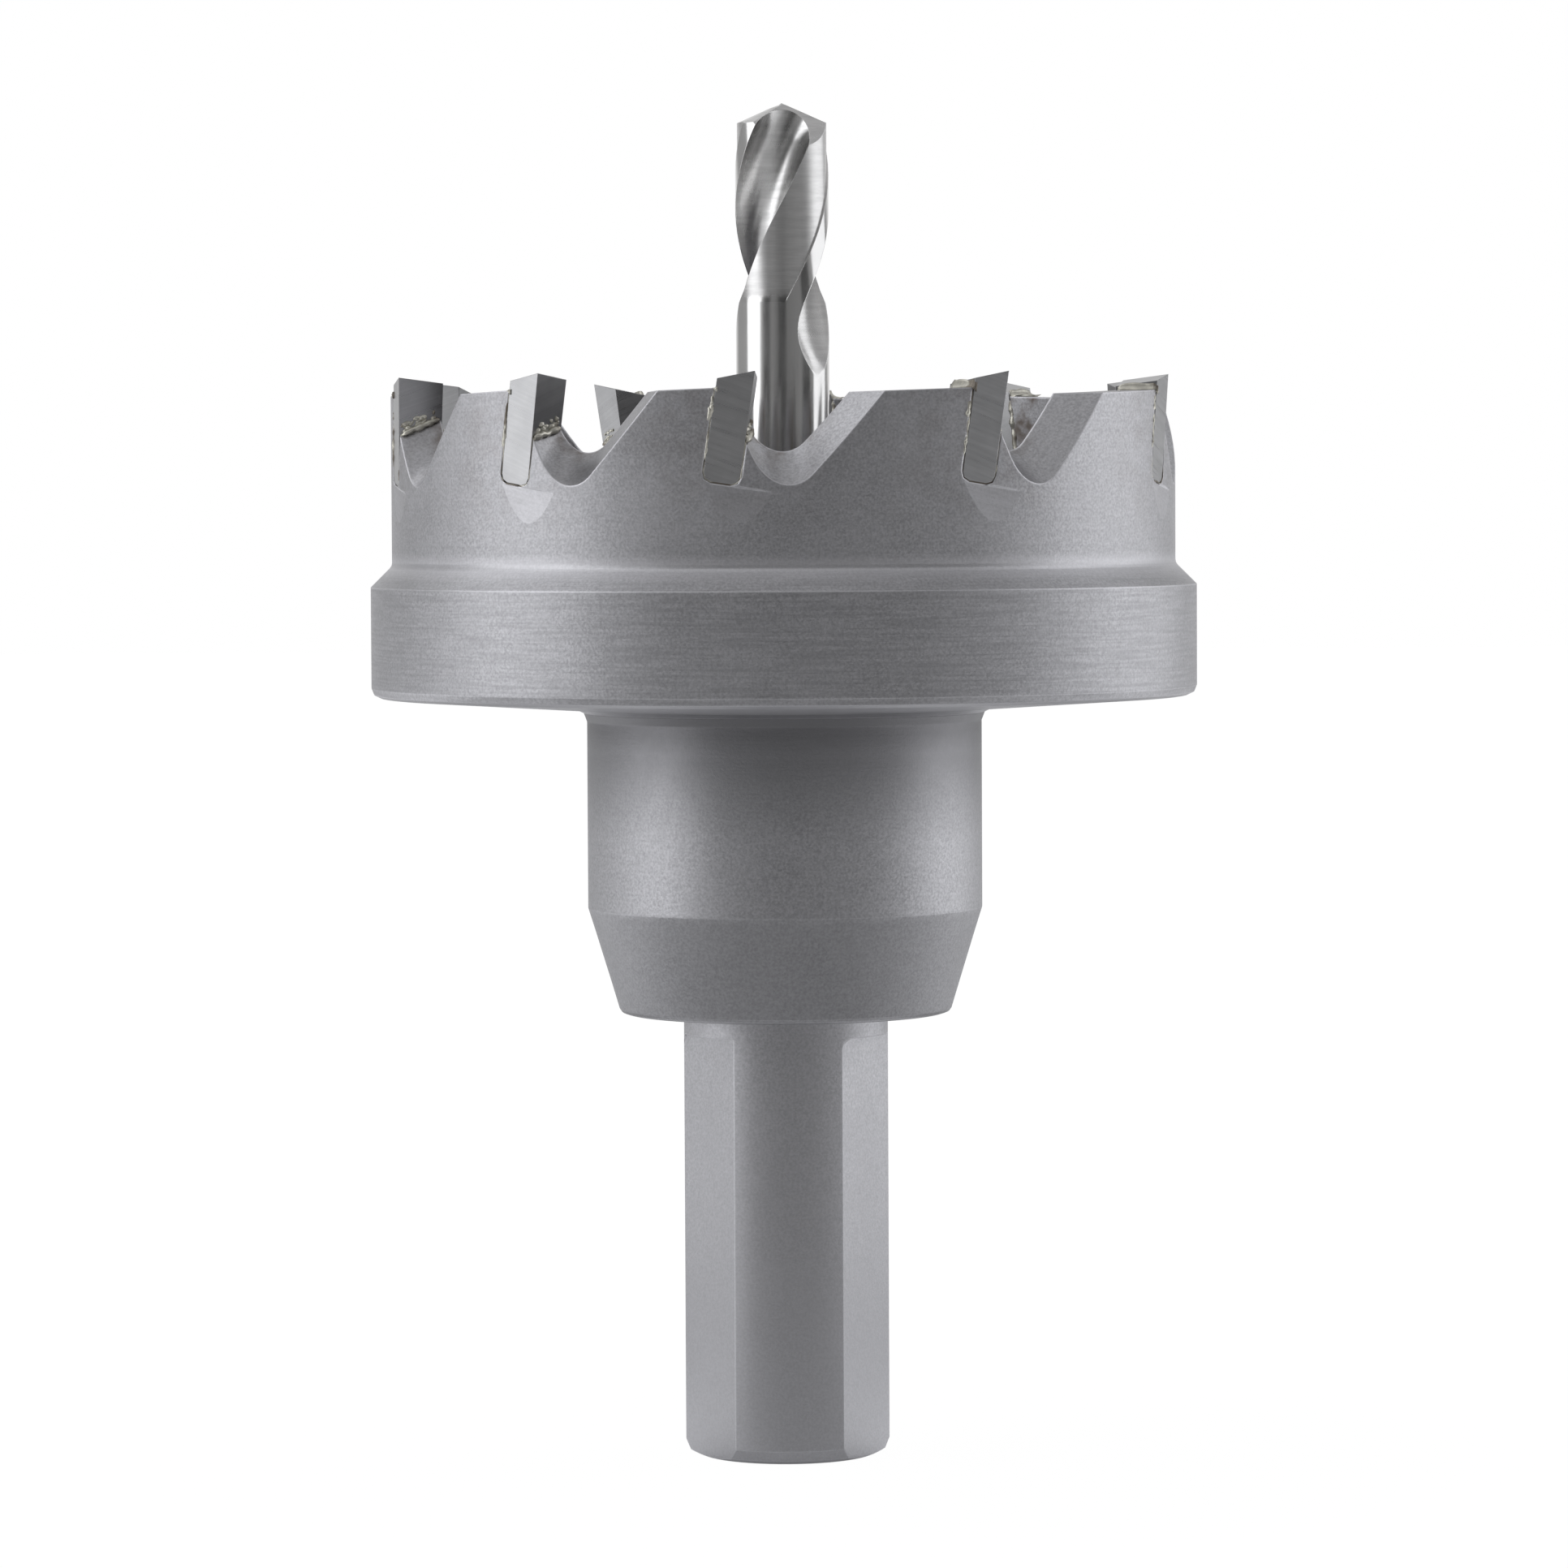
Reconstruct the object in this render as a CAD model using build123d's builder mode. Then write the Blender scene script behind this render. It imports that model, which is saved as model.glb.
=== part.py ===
from build123d import *
import os
from math import acos, cos, degrees, radians, sin, sqrt, tan

# Hole saw with brazed carbide teeth, a pilot drill and a three-flat shank.
# Millimetres. The origin is the centre of the shank's end face, +Z points at the drill's tip,
# and the side that faces -Y is the front. Angles round the axis start at the front and
# grow in the cutting direction, which is counter-clockwise seen from the tip.

# Shank with three flats, which stop short of its shoulder
shank_diameter = 13.0
shank_length = 28.2
shank_end_round = 0.9
flat_count = 3
flat_depth = 0.77
flat_neck = 1.35
flat_corner_radius = 0.8
flat_turn = 61.4

# Hub, tapered at its foot
hub_foot_diameter = 21.0
hub_foot_round = 0.4
hub_taper_length = 6.7
hub_diameter = 25.1
hub_length = 19.3
hub_collar_fillet = 0.8

# Collar with a dished underside, bevelled up to the cup
collar_overhang = 1.35
collar_height = 6.95
collar_dish = 0.9
collar_bottom_round = 0.6
collar_bevel_angle = 45.0
collar_cup_fillet = 0.5

# Cup
cup_wall = 2.6
cup_height = 12.15
cup_depth = 15.5
cup_floor_round = 1.2
land_slope = 2.0

# Teeth, by the angle of each leading corner
tooth_angles = (-149.7, -108.9, -73.2, -36.2, -3.8, 33.0, 74.2, 109.0, 144.0, 177.7)
cutting_diameter = 50.0
tip_width = 2.2
tip_length = 6.9
tip_height = 1.0
tip_overhang = 0.15
tip_inner_overhang = 0.1
tip_lean = 8.5
tip_side_clearance = 5.0
tip_side_taper = 1.0
tip_top_relief = 10.0
tip_top_fall = 7.0
tip_bottom_round = 0.5
braze_gap = 0.1
braze_recess = 0.08

# Gullets, each cut along a line that rises inwards, with its lowest point ahead of its tooth
gullet_leads = (4.4, 4.4, 6.9, 4.7, 4.2, 5.1, 7.0, 4.4, 4.4, 4.4)
gullet_far_slopes = (42, 42, 42, 42, 42, 42, 27, 42, 42, 42)
gullet_near_slopes = (56, 56, 38, 56, 56, 56, 42, 56, 56, 56)
gullet_depth = 5.8
gullet_radius = 2.3
gullet_rise = 37.5
gullet_yaw = 9.0
gullet_tip_inset = 0.6

# Shallow facet that the grinding wheel leaves under each tip
facet_turn = 2.4
facet_height = 2.1
facet_depth = 0.085

# Pilot drill
drill_diameter = 5.9
drill_length = 49.0
drill_lead = 17.37
drill_point_angle = 131.5
drill_end_chamfer = 0.4
flute_lead = 34.0
flute_radius = 2.0
flute_web = 1.1
flute_length = 10.5
flute_runout = 5.7
flute_tip_turn = 9.4
flute_step = 2.4
relief_length = 11.3
relief_depth = 0.12
relief_runout = 0.8
margin_angle = 24.0
gash_slope = 46.7
gash_turn = 24.4
gash_offset = 0.15

# Set screw at the back of the hub, which bears on a flat of the drill
screw_turn = 180.0
screw_diameter = 5.0
screw_point_chamfer = 0.6
screw_recess = 0.6
screw_socket = 2.5
screw_socket_depth = 2.4
screw_flat_depth = 0.45
screw_flat_length = 8.0

# Clearances, and how far a cutting shape passes the surface it cuts
bore_clearance = 0.02
screw_clearance = 0.03
cut_margin = 1.0

# Straight bands that stand for each round of the turned profile and of the tips
round_bands = 2

# Radii
shank_radius = shank_diameter / 2
hub_radius = hub_diameter / 2
cutting_radius = cutting_diameter / 2
cup_radius = cutting_radius - tip_overhang
cup_inner_radius = cup_radius - cup_wall
collar_radius = cup_radius + collar_overhang
drill_radius = drill_diameter / 2
drill_flat_radius = drill_radius - screw_flat_depth

# Heights
hub_top = shank_length + hub_length
collar_bottom = hub_top + collar_dish
collar_top = collar_bottom + collar_height
cup_start = collar_top + collar_overhang * tan(radians(collar_bevel_angle))
rim = collar_top + cup_height
cup_floor = rim - cup_depth
tip_top = rim + tip_height
tip_bottom = tip_top - tip_length
drill_tip = tip_top + drill_lead
drill_corner = drill_tip - drill_radius / tan(radians(drill_point_angle / 2))
drill_bottom = drill_tip - drill_length
screw_height = shank_length + (hub_taper_length + hub_length) / 2


def outward(angle):
    """Direction from the axis to the wall at an angle round the axis."""
    return Vector(sin(radians(angle)), -cos(radians(angle)), 0)


def forward(angle):
    """Direction in which the wall moves at an angle round the axis."""
    return Vector(cos(radians(angle)), sin(radians(angle)), 0)


def wall_plane(angle, radius, height):
    """Upright plane that faces outwards, with its x along the cutting direction."""
    origin = outward(angle) * radius + Vector(0, 0, height)
    return Plane(origin=origin, x_dir=forward(angle), z_dir=outward(angle))


def tip_corner(angle):
    """Leading outer corner of a tip."""
    return outward(angle) * cutting_radius + Vector(0, 0, tip_top)


def lean_direction(angle):
    """Cutting direction, tipped down square to a tip's length."""
    lean = radians(tip_lean)
    return forward(angle) * cos(lean) - Vector(0, 0, sin(lean))


def tip_plane(angle):
    """Plane through a tip's leading corner, square to the wall, with its x along the lean."""
    return Plane(origin=tip_corner(angle), x_dir=lean_direction(angle), z_dir=outward(angle))


def tip_side_plane(angle):
    """Plane of a tip's outer face, which falls inwards behind its edge and below it."""
    taper = radians(tip_side_taper)
    normal = outward(angle - tip_side_clearance) * cos(taper) - Vector(0, 0, sin(taper))
    return Plane(origin=tip_corner(angle), z_dir=normal)


def tip_top_plane(angle):
    """Plane of a tip's top, which falls away behind its edge and towards the axis."""
    relief = radians(tip_top_relief)
    fall = radians(tip_top_fall)
    back = forward(angle) * -cos(relief) - Vector(0, 0, sin(relief))
    inward = outward(angle) * -cos(fall) - Vector(0, 0, sin(fall))
    return Plane(origin=tip_corner(angle), x_dir=back, z_dir=inward.cross(back))


def rounded(before, corner, after, radius):
    """Points of a corner of a profile, rounded in straight bands."""
    corner = Vector(corner)
    back = (Vector(before) - corner).normalized()
    ahead = (Vector(after) - corner).normalized()
    half = radians(back.get_angle(ahead) / 2)
    center = corner + (back + ahead).normalized() * (radius / sin(half))
    start = corner + back * (radius / tan(half)) - center
    turn = 180 - 2 * degrees(half)
    if back.cross(ahead).Z > 0:
        turn = -turn
    return [center + start.rotate(Axis.Z, turn * i / round_bands) for i in range(round_bands + 1)]


def nearest(points, x, y):
    """The vertex of a profile that lies nearest to a place."""
    return points.sort_by_distance((x, y, 0))[0]


def leaning_bar(angle, gap, above, outside, inside):
    """Bar along a tip's length: a gap round the tip's profile, from outside to inside its face."""
    front_top = (gap, above)
    back_top = (-tip_width - gap, above)
    back_bottom = (-tip_width - gap, -tip_length - gap)
    front_bottom = (gap, -tip_length - gap)
    radius = tip_bottom_round + gap
    with BuildPart() as bar:
        with BuildSketch(tip_plane(angle).offset(outside)):
            with BuildLine():
                Polyline(
                    front_top,
                    back_top,
                    *rounded(back_top, back_bottom, front_bottom, radius),
                    *rounded(back_bottom, front_bottom, front_top, radius),
                    close=True,
                )
            make_face()
        extrude(amount=-outside - inside)
    return bar.part


def gullet_cutter(i):
    """Rounded V ahead of a tooth, which starts behind the tip's face and runs out inside the cup."""
    angle = tooth_angles[i]
    low = angle + gullet_leads[i]
    aim = low + gullet_yaw
    rise = radians(gullet_rise)
    near = radians(gullet_near_slopes[i])
    far = radians(gullet_far_slopes[i])
    lean = tan(radians(tip_lean)) / cos(rise)
    # The V's two lines meet below the rounded bottom, which lies at the plane's origin
    low_x = gullet_radius * (1 / cos(far) - 1 / cos(near)) / (tan(near) + tan(far))
    low_y = gullet_radius * (1 - 1 / cos(far)) + tan(far) * low_x
    top_y = (gullet_depth + 2 * cut_margin) * cos(rise)
    far_x = low_x + (top_y - low_y) / tan(far)
    # The near side ends on a line that leans with the tip, inside its width
    tip_x = cup_radius * (sin(radians(gullet_yaw)) - sin(radians(aim - angle)))
    inset_x = tip_x - gullet_tip_inset - (gullet_depth + tip_height) * tan(radians(tip_lean))
    near_y = (low_y + (low_x - inset_x) * tan(near)) / (1 + lean * tan(near))
    origin = outward(low) * cup_radius + Vector(0, 0, rim - gullet_depth)
    normal = outward(aim) * cos(rise) - Vector(0, 0, sin(rise))
    reach = cut_margin + (cup_wall + 2 * cut_margin) * cos(rise) + (gullet_depth + cut_margin) * sin(rise)
    with BuildPart() as cutter:
        with BuildSketch(Plane(origin=origin, x_dir=forward(aim), z_dir=normal).offset(cut_margin)):
            with BuildLine():
                Polyline(
                    (low_x, low_y),
                    (far_x, top_y),
                    (inset_x + top_y * lean, top_y),
                    (inset_x + near_y * lean, near_y),
                    close=True,
                )
            make_face()
            fillet(nearest(vertices(), low_x, low_y), gullet_radius)
        extrude(amount=-reach)
    return cutter.part


def land_cutter(angle, last_low):
    """Wedge that lowers the rim from the back of a tooth to the gullet behind it."""
    back = angle - degrees((tip_width + braze_gap) / cup_radius)
    span = radians(back - last_low)
    length = cup_radius * sin(span)
    depth = cup_radius - cup_inner_radius * cos(span) + 2 * cut_margin
    with BuildPart() as cutter:
        with BuildSketch(wall_plane(back, cup_radius + cut_margin, rim)):
            with BuildLine():
                Polyline(
                    (0, 0),
                    (0, cut_margin),
                    (-length, cut_margin),
                    (-length, -length * tan(radians(land_slope))),
                    close=True,
                )
            make_face()
        extrude(amount=-depth)
    return cutter.part


def facet_cutter(angle):
    """Sliver of the wall under a tip, which a tilted plane cuts into the shape of a smile."""
    turn = angle - facet_turn
    top = -tip_length - braze_gap
    bottom = top - facet_height
    origin = tip_corner(angle) + outward(turn) * (cup_radius - cutting_radius * cos(radians(facet_turn)))
    with BuildPart() as cutter:
        with BuildSketch(Plane(origin=origin, x_dir=outward(turn), z_dir=-lean_direction(turn))):
            with BuildLine():
                Polyline(
                    (0, bottom),
                    (-facet_depth, top),
                    (cut_margin, top),
                    (cut_margin, bottom),
                    close=True,
                )
            make_face()
        extrude(amount=2 * facet_height, both=True)
    return cutter.part


def flute_cutter(turn):
    """Round groove that climbs round the drill and lifts out of it at its lower end."""
    rate = 360 / flute_lead
    full = drill_corner - flute_length
    low = full - flute_runout
    inner = flute_web / 2 + flute_radius
    outer = drill_radius + flute_radius + bore_clearance
    steps = int((drill_tip + cut_margin - low) / flute_step)
    with BuildPart() as cutter:
        for i in range(steps + 1):
            height = low + (drill_tip + cut_margin - low) * i / steps
            lift = max(0, full - height) / flute_runout
            drop = drill_corner - max(height, full) + flute_runout * (lift - lift ** 2 / 2)
            center = outward(turn + flute_tip_turn - rate * drop)
            center = center * (inner + (outer - inner) * lift ** 1.5)
            with BuildSketch(Plane.XY.offset(height)):
                with Locations((center.X, center.Y)):
                    Circle(flute_radius)
        loft()
    return cutter.part


def relief_cutter(turn):
    """Shallow step that clears a land behind its margin: a ring, cut by a twisted wedge."""
    rate = 360 / flute_lead
    inner = flute_web / 2 + flute_radius
    opening = (inner ** 2 + drill_radius ** 2 - flute_radius ** 2) / (2 * inner * drill_radius)
    half_flute = degrees(acos(opening))
    bottom = drill_corner - relief_length
    height = relief_length + (drill_tip - drill_corner) + cut_margin
    start = turn + flute_tip_turn - rate * relief_length + half_flute / 2
    end = start + 180 - 1.5 * half_flute - margin_angle
    with BuildSketch(Plane.XY.offset(bottom)) as section:
        with BuildLine():
            Polyline(
                outward(start) * flute_web,
                outward(start) * drill_length,
                outward(end) * drill_length,
                outward(end) * flute_web,
                close=True,
            )
        make_face()
    wedge = Solid.extrude_linear_with_rotation(
        section.sketch.face(), center=(0, 0, bottom), normal=(0, 0, height), angle=rate * height
    )
    with BuildPart() as cutter:
        with BuildSketch(Plane.XZ):
            with BuildLine():
                Polyline(
                    (drill_radius, bottom),
                    (drill_radius - relief_depth, bottom + relief_runout),
                    (drill_radius - relief_depth, bottom + height),
                    (drill_radius + cut_margin, bottom + height),
                    (drill_radius + cut_margin, bottom),
                    close=True,
                )
            make_face()
        revolve(axis=Axis.Z)
        add(wedge, mode=Mode.INTERSECT)
    return cutter.part


# Saw body: shank, hub, collar and cup turned as one piece. Each corner has its round's radius
saw_corners = (
    (0, 0, 0),
    (shank_radius, 0, shank_end_round),
    (shank_radius, shank_length, 0),
    (hub_foot_diameter / 2, shank_length, hub_foot_round),
    (hub_radius, shank_length + hub_taper_length, 0),
    (hub_radius, hub_top, hub_collar_fillet),
    (collar_radius, collar_bottom, collar_bottom_round),
    (collar_radius, collar_top, 0),
    (cup_radius, cup_start, collar_cup_fillet),
    (cup_radius, rim, 0),
    (cup_inner_radius, rim, 0),
    (cup_inner_radius, cup_floor, cup_floor_round),
    (drill_radius + bore_clearance, cup_floor, 0),
    (drill_radius + bore_clearance, drill_bottom, 0),
    (0, drill_bottom, 0),
)
saw_points = []
for i, (x, y, radius) in enumerate(saw_corners):
    if radius == 0:
        saw_points.append((x, y))
    else:
        saw_points.extend(rounded(saw_corners[i - 1][:2], (x, y), saw_corners[i + 1][:2], radius))
with BuildPart() as saw_blank:
    with BuildSketch(Plane.XZ):
        with BuildLine():
            Polyline(*saw_points, close=True)
        make_face()
    revolve(axis=Axis.Z)

    # Flats of the shank, each with one rounded upper corner
    for i in range(flat_count):
        turn = flat_turn + i * 360 / flat_count
        flat_radius = shank_radius - flat_depth
        half_width = sqrt(shank_radius ** 2 - flat_radius ** 2)
        flat_top = shank_length - flat_neck
        with BuildSketch(wall_plane(turn, flat_radius, 0)):
            with BuildLine():
                Polyline(
                    (-half_width - bore_clearance, -cut_margin),
                    (shank_radius, -cut_margin),
                    (shank_radius, flat_top),
                    (-half_width - bore_clearance, flat_top),
                    close=True,
                )
            make_face()
            fillet(nearest(vertices(), -half_width, flat_top), flat_corner_radius)
        extrude(amount=flat_depth + cut_margin, mode=Mode.SUBTRACT)

    # Tapped hole for the set screw
    with BuildSketch(wall_plane(screw_turn, 0, screw_height)):
        Circle(screw_diameter / 2 + screw_clearance)
    extrude(amount=hub_radius + cut_margin, mode=Mode.SUBTRACT)

    last_low = tooth_angles[-1] + gullet_leads[-1] - 360
    for i, angle in enumerate(tooth_angles):
        add(gullet_cutter(i), mode=Mode.SUBTRACT)
        add(land_cutter(angle, last_low), mode=Mode.SUBTRACT)
        add(facet_cutter(angle), mode=Mode.SUBTRACT)
        last_low = angle + gullet_leads[i]

# Carbide tips and the braze round each of them
tips = []
seams = []
for i, angle in enumerate(tooth_angles):
    with BuildPart() as carbide_tip:
        add(leaning_bar(angle, 0, cut_margin, cut_margin, tip_overhang + cup_wall + tip_inner_overhang))
        split(bisect_by=tip_top_plane(angle), keep=Keep.BOTTOM)
        split(bisect_by=tip_side_plane(angle), keep=Keep.BOTTOM)
    carbide_tip.part.label = f"carbide_tip_{i + 1}"
    tips.append(carbide_tip.part)

    with BuildPart() as braze_seam:
        add(leaning_bar(angle, braze_gap, tip_height, cut_margin, tip_overhang + cup_wall - braze_recess))
        split(bisect_by=tip_side_plane(angle).offset(-braze_recess), keep=Keep.BOTTOM)
        split(bisect_by=Plane.XY.offset(rim - braze_recess), keep=Keep.BOTTOM)
        add(gullet_cutter(i), mode=Mode.SUBTRACT)
        add(carbide_tip.part, mode=Mode.SUBTRACT)
    braze_seam.part.label = f"braze_seam_{i + 1}"
    seams.append(braze_seam.part)

with BuildPart() as saw_body:
    add(saw_blank.part)
    for angle in tooth_angles:
        pocket = leaning_bar(angle, braze_gap, tip_height, cut_margin, tip_overhang + cup_wall + cut_margin)
        add(pocket, mode=Mode.SUBTRACT)
saw_body.part.label = "saw_body"

# Pilot drill: two flutes that climb to the right, cleared lands and a split point
with BuildPart() as pilot_drill:
    with BuildSketch(Plane.XZ):
        with BuildLine():
            Polyline(
                (0, drill_bottom),
                (drill_radius - drill_end_chamfer, drill_bottom),
                (drill_radius, drill_bottom + drill_end_chamfer),
                (drill_radius, drill_corner),
                (0, drill_tip),
                close=True,
            )
        make_face()
    revolve(axis=Axis.Z)
    with BuildSketch(wall_plane(screw_turn, drill_flat_radius, screw_height)):
        Rectangle(drill_diameter, screw_flat_length)
    extrude(amount=screw_flat_depth + cut_margin, mode=Mode.SUBTRACT)
    for turn in (0, 180):
        add(relief_cutter(turn), mode=Mode.SUBTRACT)
        add(flute_cutter(turn), mode=Mode.SUBTRACT)
    for turn in (gash_turn, gash_turn + 180):
        gash_normal = outward(turn) * sin(radians(gash_slope)) + Vector(0, 0, cos(radians(gash_slope)))
        gash_origin = outward(turn) * gash_offset + Vector(0, 0, drill_tip)
        split(bisect_by=Plane(origin=gash_origin, z_dir=gash_normal), keep=Keep.BOTTOM)
pilot_drill.part.label = "pilot_drill"

# Set screw with a hexagon socket
with BuildPart() as set_screw:
    with BuildSketch(wall_plane(screw_turn, drill_flat_radius, screw_height)):
        Circle(screw_diameter / 2)
    extrude(amount=hub_radius - screw_recess - drill_flat_radius)
    ends = set_screw.edges().filter_by(GeomType.CIRCLE).sort_by_distance((0, 0, screw_height))
    chamfer(ends[0], screw_point_chamfer)
    with BuildSketch(wall_plane(screw_turn, hub_radius - screw_recess, screw_height)):
        RegularPolygon(screw_socket / 2, 6, major_radius=False)
    extrude(amount=-screw_socket_depth, mode=Mode.SUBTRACT)
set_screw.part.label = "set_screw"

os.makedirs("parts", exist_ok=True)
for piece in (saw_body.part, pilot_drill.part, set_screw.part, *tips, *seams):
    export_step(piece, f"parts/{piece.label}.step")
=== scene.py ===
"""Looks of the hole saw: finishes of its metals, the braze round its teeth, and a white studio."""

import math
import random

import bmesh
import bpy
from mathutils import Matrix, Vector, noise


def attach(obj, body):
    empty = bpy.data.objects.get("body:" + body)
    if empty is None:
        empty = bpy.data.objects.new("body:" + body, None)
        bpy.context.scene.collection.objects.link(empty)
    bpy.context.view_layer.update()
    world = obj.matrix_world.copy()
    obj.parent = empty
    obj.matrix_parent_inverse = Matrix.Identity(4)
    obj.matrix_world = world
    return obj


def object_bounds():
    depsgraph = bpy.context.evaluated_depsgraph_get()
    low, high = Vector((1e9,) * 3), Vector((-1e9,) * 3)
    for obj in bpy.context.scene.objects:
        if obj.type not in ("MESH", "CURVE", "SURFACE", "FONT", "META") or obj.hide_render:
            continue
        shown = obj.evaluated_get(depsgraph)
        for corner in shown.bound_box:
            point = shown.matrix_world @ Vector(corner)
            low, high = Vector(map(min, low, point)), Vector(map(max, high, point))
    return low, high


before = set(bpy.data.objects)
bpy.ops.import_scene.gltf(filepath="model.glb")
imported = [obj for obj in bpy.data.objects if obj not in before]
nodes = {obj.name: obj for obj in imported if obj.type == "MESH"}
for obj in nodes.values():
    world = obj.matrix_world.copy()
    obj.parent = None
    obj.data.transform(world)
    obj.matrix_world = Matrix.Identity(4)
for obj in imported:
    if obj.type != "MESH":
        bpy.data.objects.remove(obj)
cad_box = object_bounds()

MM = 0.001

# Camera, measured from the photograph
IMAGE_SIZE = 1932
FOCAL_PIXELS = 7800
SENSOR_MM = 36.0
CAMERA_PLACE = Vector((-0.046, -402.5, 61.48)) * MM
CAMERA_TILT = math.radians(2.672)
CAMERA_ROLL = math.radians(0.277)

# Sizes of the saw that the finishes and the braze follow, from the frame
CUP_RADIUS = 24.85 * MM
CUP_INNER_RADIUS = 22.25 * MM
DRILL_RADIUS = 2.95 * MM
TIP_LEAN = math.radians(8.5)
TIP_WIDTH = 2.2 * MM
TIP_LENGTH = 6.9 * MM
TIP_DEPTH = 2.85 * MM

# Its heights above the end of the shank
SHANK_TOP = 28.2 * MM
TAPER_TOP = 34.8 * MM
HUB_TOP = 46.2 * MM
COLLAR_MIDDLE = 50.5 * MM
CUP_FOOT = 56.7 * MM
RIM = 67.5 * MM

# Radius that takes in the hub and the fillet at its top, but not the outer part of the collar
HUB_REACH = 16 * MM

# How far ahead of a tip the front of its seam reaches
SEAM_FRONT = 0.13 * MM

# Scales of the marks in the finishes, in marks to the metre
TURNING_LINES = 5200
BLAST_GRAIN = 6200
MOTTLE = 2400
BLOTCHES = 230
CLOUDS = 75
HEAT_STAINS = 520
BRUSH_LINES = 4800
BRUSH_PATCHES = 160
GRINDING_LINES = 3600
TIP_CLOUDS = 700
TIP_DARK_PATCHES = 900
BRAZE_LUMPS = 1900
BRAZE_STAINS = 430
DRILL_STREAKS = 4200
DRILL_MARKS = 3400
DRILL_CLOUDS = 520
SCREW_CLOUDS = 1500

# The braze round each tip: its first seed, the lumps at the rake's foot and the beads down the back
BRAZE_SEED = 40
FOOT_LUMPS = 24
BACK_BEADS = 5

tip_names = sorted((n for n in nodes if n.startswith("carbide_tip_")), key=lambda n: int(n.split("_")[-1]))
seam_names = [n.replace("carbide_tip", "braze_seam") for n in tip_names]


def node(tree, kind, inputs=None, **settings):
    """A shader node. An input takes a value, or a socket that it is linked to."""
    made = tree.nodes.new(kind)
    for name, value in settings.items():
        setattr(made, name, value)
    for name, value in (inputs or {}).items():
        if isinstance(value, bpy.types.NodeSocket):
            tree.links.new(value, made.inputs[name])
        else:
            made.inputs[name].default_value = value
    return made


def calc(tree, operation, a, b=0.0):
    """Result of a Math node on two values or sockets."""
    return node(tree, "ShaderNodeMath", {0: a, 1: b}, operation=operation).outputs[0]


def product(tree, first, *others):
    """Values or sockets multiplied in turn."""
    for other in others:
        first = calc(tree, "MULTIPLY", first, other)
    return first


def apart(tree, value, middle):
    """How far a value is from a middle one, on either side."""
    return calc(tree, "ABSOLUTE", calc(tree, "SUBTRACT", value, middle))


def remap(tree, value, low, high, new_low, new_high):
    """Value moved from one range to another, and held inside the new one."""
    inputs = {"Value": value, "From Min": low, "From Max": high, "To Min": new_low, "To Max": new_high}
    return node(tree, "ShaderNodeMapRange", inputs).outputs[0]


def speckle(tree, place, scale, detail=2.0, roughness=0.5, stretch=(1, 1, 1)):
    """Noise of a given scale, in marks to the metre, from 0 to 1."""
    mapped = node(tree, "ShaderNodeMapping", {"Vector": place, "Scale": stretch}).outputs[0]
    inputs = {"Vector": mapped, "Scale": scale, "Detail": detail, "Roughness": roughness}
    return node(tree, "ShaderNodeTexNoise", inputs).outputs["Fac"]


def fine_lines(tree, along, across, scale, detail, roughness=0.5):
    """Noise drawn out into lines, by a place along them that is scaled down and one across them."""
    place = node(tree, "ShaderNodeCombineXYZ", {"X": along, "Y": 0.0, "Z": across}).outputs[0]
    return speckle(tree, place, scale, detail, roughness)


def mixed(tree, factor, a, b):
    """Blend of two colours, each an RGB triple or a socket."""
    made = tree.nodes.new("ShaderNodeMix")
    made.data_type = "RGBA"
    tree.links.new(factor, made.inputs[0])
    for socket, colour in ((made.inputs[6], a), (made.inputs[7], b)):
        if isinstance(colour, bpy.types.NodeSocket):
            tree.links.new(colour, socket)
        else:
            socket.default_value = (*colour, 1)
    return made.outputs[2]


def shade(colour, share):
    """An RGB triple made lighter or darker."""
    return tuple(c * share for c in colour)


def metal(name):
    """A new metal, with its tree, its shader, and the place on the object in metres."""
    material = bpy.data.materials.new(name)
    material.use_nodes = True
    tree = material.node_tree
    tree.nodes.clear()
    shader = node(tree, "ShaderNodeBsdfPrincipled", {"Metallic": 1.0})
    output = node(tree, "ShaderNodeOutputMaterial")
    tree.links.new(shader.outputs[0], output.inputs["Surface"])
    place = node(tree, "ShaderNodeTexCoord").outputs["Object"]
    return material, tree, shader, place


def link_look(tree, shader, colour, roughness, normal):
    """Links what a finish is made of to its shader."""
    for name, socket in (("Base Color", colour), ("Roughness", roughness), ("Normal", normal)):
        tree.links.new(socket, shader.inputs[name])


def azimuth_of(tree, x, y):
    """Angle round the axis, from the front to the right."""
    return calc(tree, "ARCTAN2", x, calc(tree, "MULTIPLY", y, -1.0))


def around(tree, place):
    """Angle round the axis from the front, distance from the axis, and height."""
    x, y, z = node(tree, "ShaderNodeSeparateXYZ", {0: place}).outputs
    squares = calc(tree, "ADD", calc(tree, "MULTIPLY", x, x), calc(tree, "MULTIPLY", y, y))
    return azimuth_of(tree, x, y), calc(tree, "SQRT", squares), z


def bump(tree, height, distance, strength, normal=None):
    """Normal bent by a height of a given depth in metres."""
    inputs = {"Height": height, "Distance": distance, "Strength": strength}
    if normal is not None:
        inputs["Normal"] = normal
    return node(tree, "ShaderNodeBump", inputs).outputs[0]


def worn_edge(tree, radius):
    """Normal that rounds each edge a little."""
    return node(tree, "ShaderNodeBevel", {"Radius": radius}, samples=6).outputs[0]


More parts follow.
